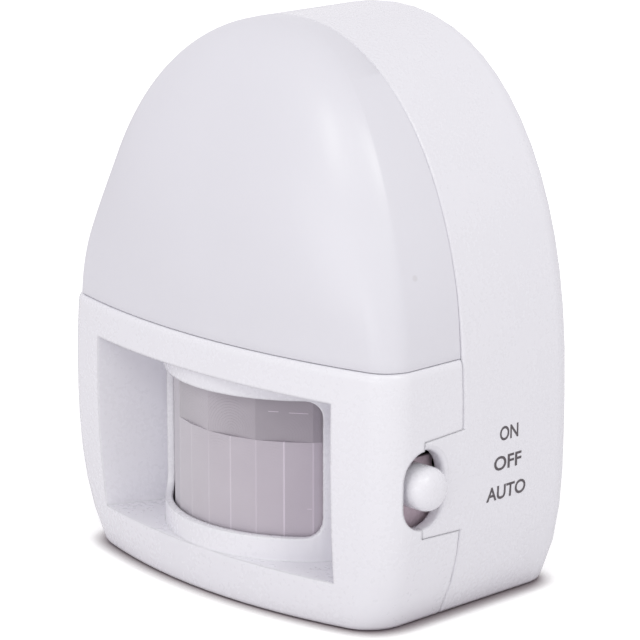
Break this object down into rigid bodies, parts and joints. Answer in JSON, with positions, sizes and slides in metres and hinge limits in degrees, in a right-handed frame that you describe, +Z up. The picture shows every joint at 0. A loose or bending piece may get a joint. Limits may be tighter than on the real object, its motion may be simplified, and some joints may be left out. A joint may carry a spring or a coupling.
{
  "type": "night light",
  "caption": "Battery night light with an opal dome, a movement sensor window, a slide switch with off, on and automatic positions, a hinged battery door and keyholes.",
  "frame": {"origin": "middle of the flat base, half way between the foremost point of the front face and the flat back", "axes": "+Z up to the crown of the dome, +Y towards the flat back that hangs on the wall, -Y out of the sensor window, +X towards the slide switch"},
  "size_m": [0.0869, 0.0516, 0.1],
  "materials": {
    "white_plastic": "satin moulded",
    "opal_plastic": "opal, light diffusing, semi gloss",
    "lens_plastic": "milky ribbed sheet",
    "black_plastic": "moulded",
    "green_board": "lacquered laminate",
    "white_board": "lacquered laminate",
    "tinned_metal": "tinned",
    "spring_steel": "nickel plated wire",
    "screw_steel": "zinc plated",
    "dark_filter": "coated filter pane",
    "sensor_ceramic": "lacquered ceramic",
    "led_phosphor": "resin in a white cup",
    "cell_wrap": "plain shrink sleeve",
    "lead_sleeve": "insulated wire"
  },
  "bodies": {
    "housing": {"rear_case": "white_plastic", "front_housing": "white_plastic", "diffuser": "opal_plastic", "fresnel_lens": "lens_plastic", "lens_frame": "black_plastic", "main_board": "green_board", "pir_sensor": "tinned_metal", "pir_filter": "dark_filter", "light_sensor": "sensor_ceramic", "control_chip": "black_plastic", "capacitors": "black_plastic", "resistors": "black_plastic", "transistor": "black_plastic", "led_board": "white_board", "leds": "led_phosphor", "reflector": "white_plastic", "board_link": "tinned_metal", "switch_board": "green_board", "slide_switch_body": "black_plastic", "cell_left": "cell_wrap", "cell_middle": "cell_wrap", "cell_right": "cell_wrap", "contact_positive": "tinned_metal", "contact_negative": "tinned_metal", "contact_bridge_top": "tinned_metal", "contact_bridge_bottom": "tinned_metal", "battery_springs": "spring_steel", "battery_leads": "lead_sleeve", "case_screws": "screw_steel", "main_board_screws": "screw_steel", "led_board_screws": "screw_steel"},
    "switch": {"switch_knob": "white_plastic", "slide_switch_lever": "black_plastic"},
    "door": {"battery_door": "white_plastic"}
  },
  "joints": [
    {"name": "switch_slide", "type": "slide", "parent": "housing", "child": "switch", "axis": [0, 0, 1], "range_m": [-0.0024, 0.0024]},
    {"name": "door_hinge", "type": "hinge", "parent": "housing", "child": "door", "pos_m": [0, 0.0246, 0.007], "axis": [-1, 0, 0], "range_deg": [0, 75]}
  ]
}
